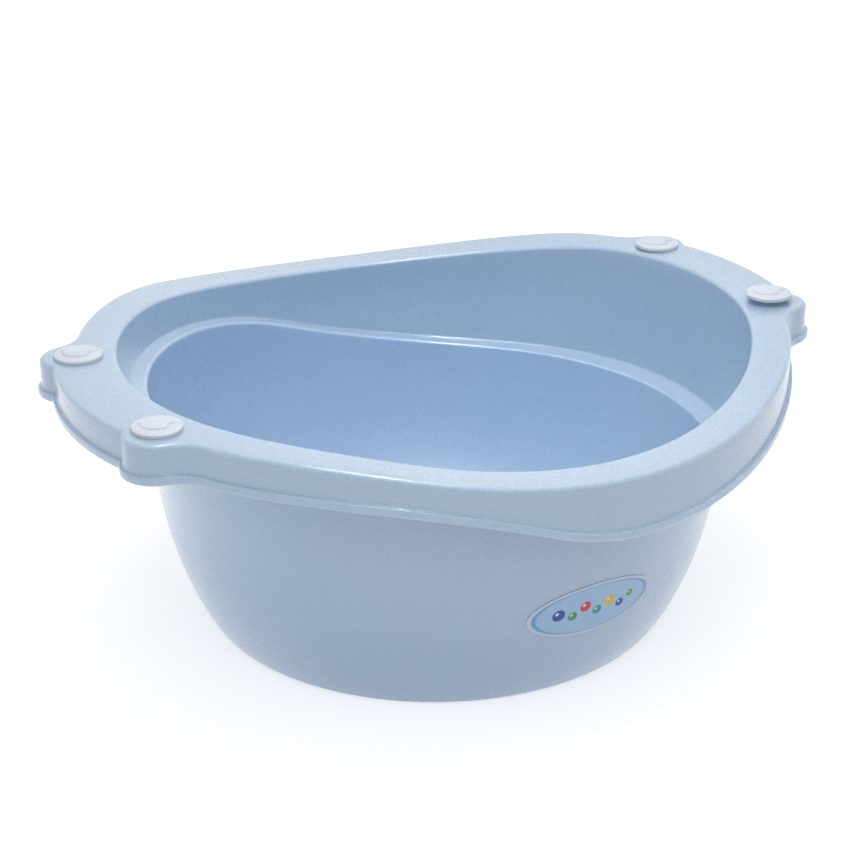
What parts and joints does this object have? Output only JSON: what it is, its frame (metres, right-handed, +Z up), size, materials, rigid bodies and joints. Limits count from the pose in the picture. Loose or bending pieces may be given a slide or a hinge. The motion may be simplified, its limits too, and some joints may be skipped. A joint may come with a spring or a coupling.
{
  "type": "baby bathtub",
  "caption": "Round-ended moulded baby bathtub with a sagging flat rim, hanging apron, stepped wall, pull-out plug caps in the corner ears and an oval label.",
  "frame": {"origin": "centre of the foot, on the floor, below the middle of the tub", "axes": "+Z up; +X along the tub towards its deep foot end; -Y is the side with the label"},
  "size_m": [0.6598, 0.588, 0.261],
  "materials": {
    "tub_plastic": "pearl blue polypropylene, satin gloss, moulded in one piece",
    "cap_plastic": "white polyethylene, satin, moulded in low relief",
    "label_film": "printed plastic film, pale blue with a mid-blue ring"
  },
  "bodies": {
    "tub": {"tub": "tub_plastic", "label": "label_film"},
    "cap_left_rear": {"cap_left_rear": "cap_plastic"},
    "cap_left_front": {"cap_left_front": "cap_plastic"},
    "cap_right_rear": {"cap_right_rear": "cap_plastic"},
    "cap_right_front": {"cap_right_front": "cap_plastic"}
  },
  "joints": [
    {"name": "cap_left_rear_pull", "type": "slide", "parent": "tub", "child": "cap_left_rear", "axis": [0, 0, 1], "range_m": [0, 0.014]},
    {"name": "cap_left_front_pull", "type": "slide", "parent": "tub", "child": "cap_left_front", "axis": [0, 0, 1], "range_m": [0, 0.014]},
    {"name": "cap_right_rear_pull", "type": "slide", "parent": "tub", "child": "cap_right_rear", "axis": [0, 0, 1], "range_m": [0, 0.014]},
    {"name": "cap_right_front_pull", "type": "slide", "parent": "tub", "child": "cap_right_front", "axis": [0, 0, 1], "range_m": [-0.004, 0.01]}
  ]
}
